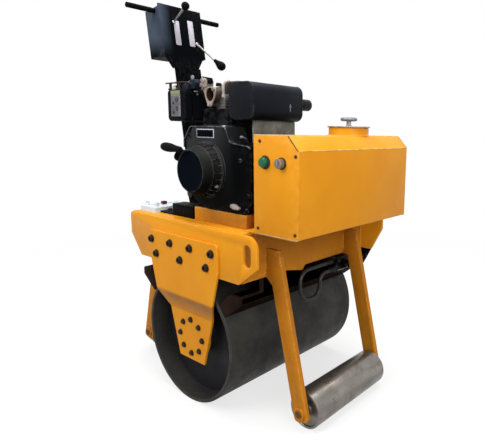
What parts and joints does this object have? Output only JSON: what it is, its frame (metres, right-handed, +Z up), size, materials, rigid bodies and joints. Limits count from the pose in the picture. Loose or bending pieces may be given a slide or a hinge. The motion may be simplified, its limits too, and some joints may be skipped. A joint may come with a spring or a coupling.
{
  "type": "walk-behind road roller",
  "caption": "Walk-behind single-drum road roller: smooth steel drum in bolted carriers, diesel engine, tank housing, leg-mounted support rollers and a fold-down handle with levers.",
  "frame": {"origin": "on the ground under the drum axis, on the centre plane", "axes": "+X forward to the tank housing, +Y to the machine's left, +Z up"},
  "size_m": [0.9691, 0.664, 1.3534],
  "materials": {
    "black_plastic": "satin",
    "black_rubber": "matt",
    "bright_steel": "zinc plated",
    "cast_alloy": "as cast",
    "drum_steel": "mill scale, dull",
    "engine_black": "satin engine enamel",
    "green_plastic": "gloss",
    "handle_black": "gloss black enamel",
    "roller_steel": "bright turned steel",
    "white_plastic": "translucent white",
    "yellow_paint": "gloss enamel"
  },
  "bodies": {
    "frame": {"air_cleaner": "engine_black", "battery": "white_plastic", "battery_tray": "black_plastic", "belt_guard": "engine_black", "crankcase": "engine_black", "cylinder_barrel": "cast_alloy", "cylinder_head": "cast_alloy", "deck_plate": "yellow_paint", "drum_carrier_left": "yellow_paint", "drum_carrier_right": "yellow_paint", "drum_stub_left": "yellow_paint", "drum_stub_right": "yellow_paint", "engine_bed": "yellow_paint", "exhaust_flange": "cast_alloy", "exhaust_outlet": "engine_black", "fan_shroud": "engine_black", "filler_lid": "yellow_paint", "filler_neck": "yellow_paint", "front_axle": "bright_steel", "front_crossmember": "yellow_paint", "front_leg_left": "yellow_paint", "front_leg_right": "yellow_paint", "front_scraper": "black_rubber", "handle_base": "handle_black", "handle_pin": "bright_steel", "hydraulic_hose": "black_rubber", "hydraulic_valve": "engine_black", "intake_pipe": "cast_alloy", "key_switch": "bright_steel", "muffler": "engine_black", "muffler_bracket": "engine_black", "rear_axle": "bright_steel", "rear_crossmember": "yellow_paint", "rear_leg_left": "yellow_paint", "rear_leg_right": "yellow_paint", "rear_scraper": "black_rubber", "recoil_grip": "black_plastic", "recoil_starter": "engine_black", "relay_box": "black_plastic", "side_plate_left": "yellow_paint", "side_plate_right": "yellow_paint", "start_button": "green_plastic", "tank_housing": "yellow_paint", "tank_panel_left": "yellow_paint", "tank_panel_right": "yellow_paint", "tank_shelf": "yellow_paint"},
    "drum": {"drum_shell": "drum_steel", "drum_head_left": "drum_steel", "drum_head_right": "drum_steel"},
    "front_roller": {"front_roller": "roller_steel"},
    "rear_roller": {"rear_roller": "roller_steel"},
    "handle": {"handle_column": "handle_black", "console": "handle_black", "handlebar": "handle_black", "hand_grip_left": "black_rubber", "hand_grip_right": "black_rubber", "drive_lever": "handle_black", "throttle_lever": "handle_black"}
  },
  "joints": [
    {"name": "drum_roll", "type": "hinge", "parent": "frame", "child": "drum", "pos_m": [0, 0, 0.216], "axis": [0, 1, 0], "continuous": true},
    {"name": "front_roller_roll", "type": "hinge", "parent": "frame", "child": "front_roller", "pos_m": [0.401, 0, 0.0585], "axis": [0, 1, 0], "continuous": true},
    {"name": "rear_roller_roll", "type": "hinge", "parent": "frame", "child": "rear_roller", "pos_m": [-0.401, 0, 0.0885], "axis": [0, 1, 0], "continuous": true},
    {"name": "handle_fold", "type": "hinge", "parent": "frame", "child": "handle", "pos_m": [-0.29, 0, 0.64], "axis": [0, -1, 0], "range_deg": [0, 60]}
  ]
}
